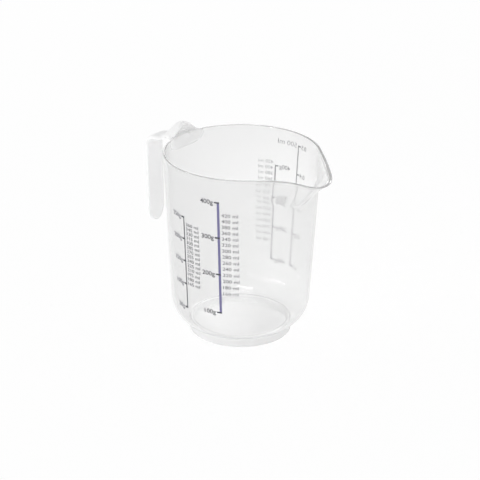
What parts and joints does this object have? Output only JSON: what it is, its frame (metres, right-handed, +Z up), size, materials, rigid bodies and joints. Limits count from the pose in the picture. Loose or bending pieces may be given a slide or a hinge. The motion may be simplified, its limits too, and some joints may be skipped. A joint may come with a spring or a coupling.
{
  "type": "measuring jug",
  "caption": "Clear half-litre measuring jug: tapered round vessel with a blended pour spout, a hooked handle with a thumb rest, a foot ring and printed scales.",
  "frame": {"origin": "the vessel's axis in the plane of the foot ring's underside", "axes": "+Z up along the vessel's axis, +X towards the spout, -X towards the handle"},
  "size_m": [0.1306, 0.0904, 0.1163],
  "materials": {
    "clear_plastic": "polished clear moulding",
    "violet_ink": "screen-printed ink",
    "grey_ink": "screen-printed ink"
  },
  "bodies": {
    "root": {"vessel": "clear_plastic", "handle": "clear_plastic", "rice_scale": "violet_ink", "flour_scale": "grey_ink", "sugar_scale": "grey_ink", "litre_scale": "grey_ink"}
  },
  "joints": []
}
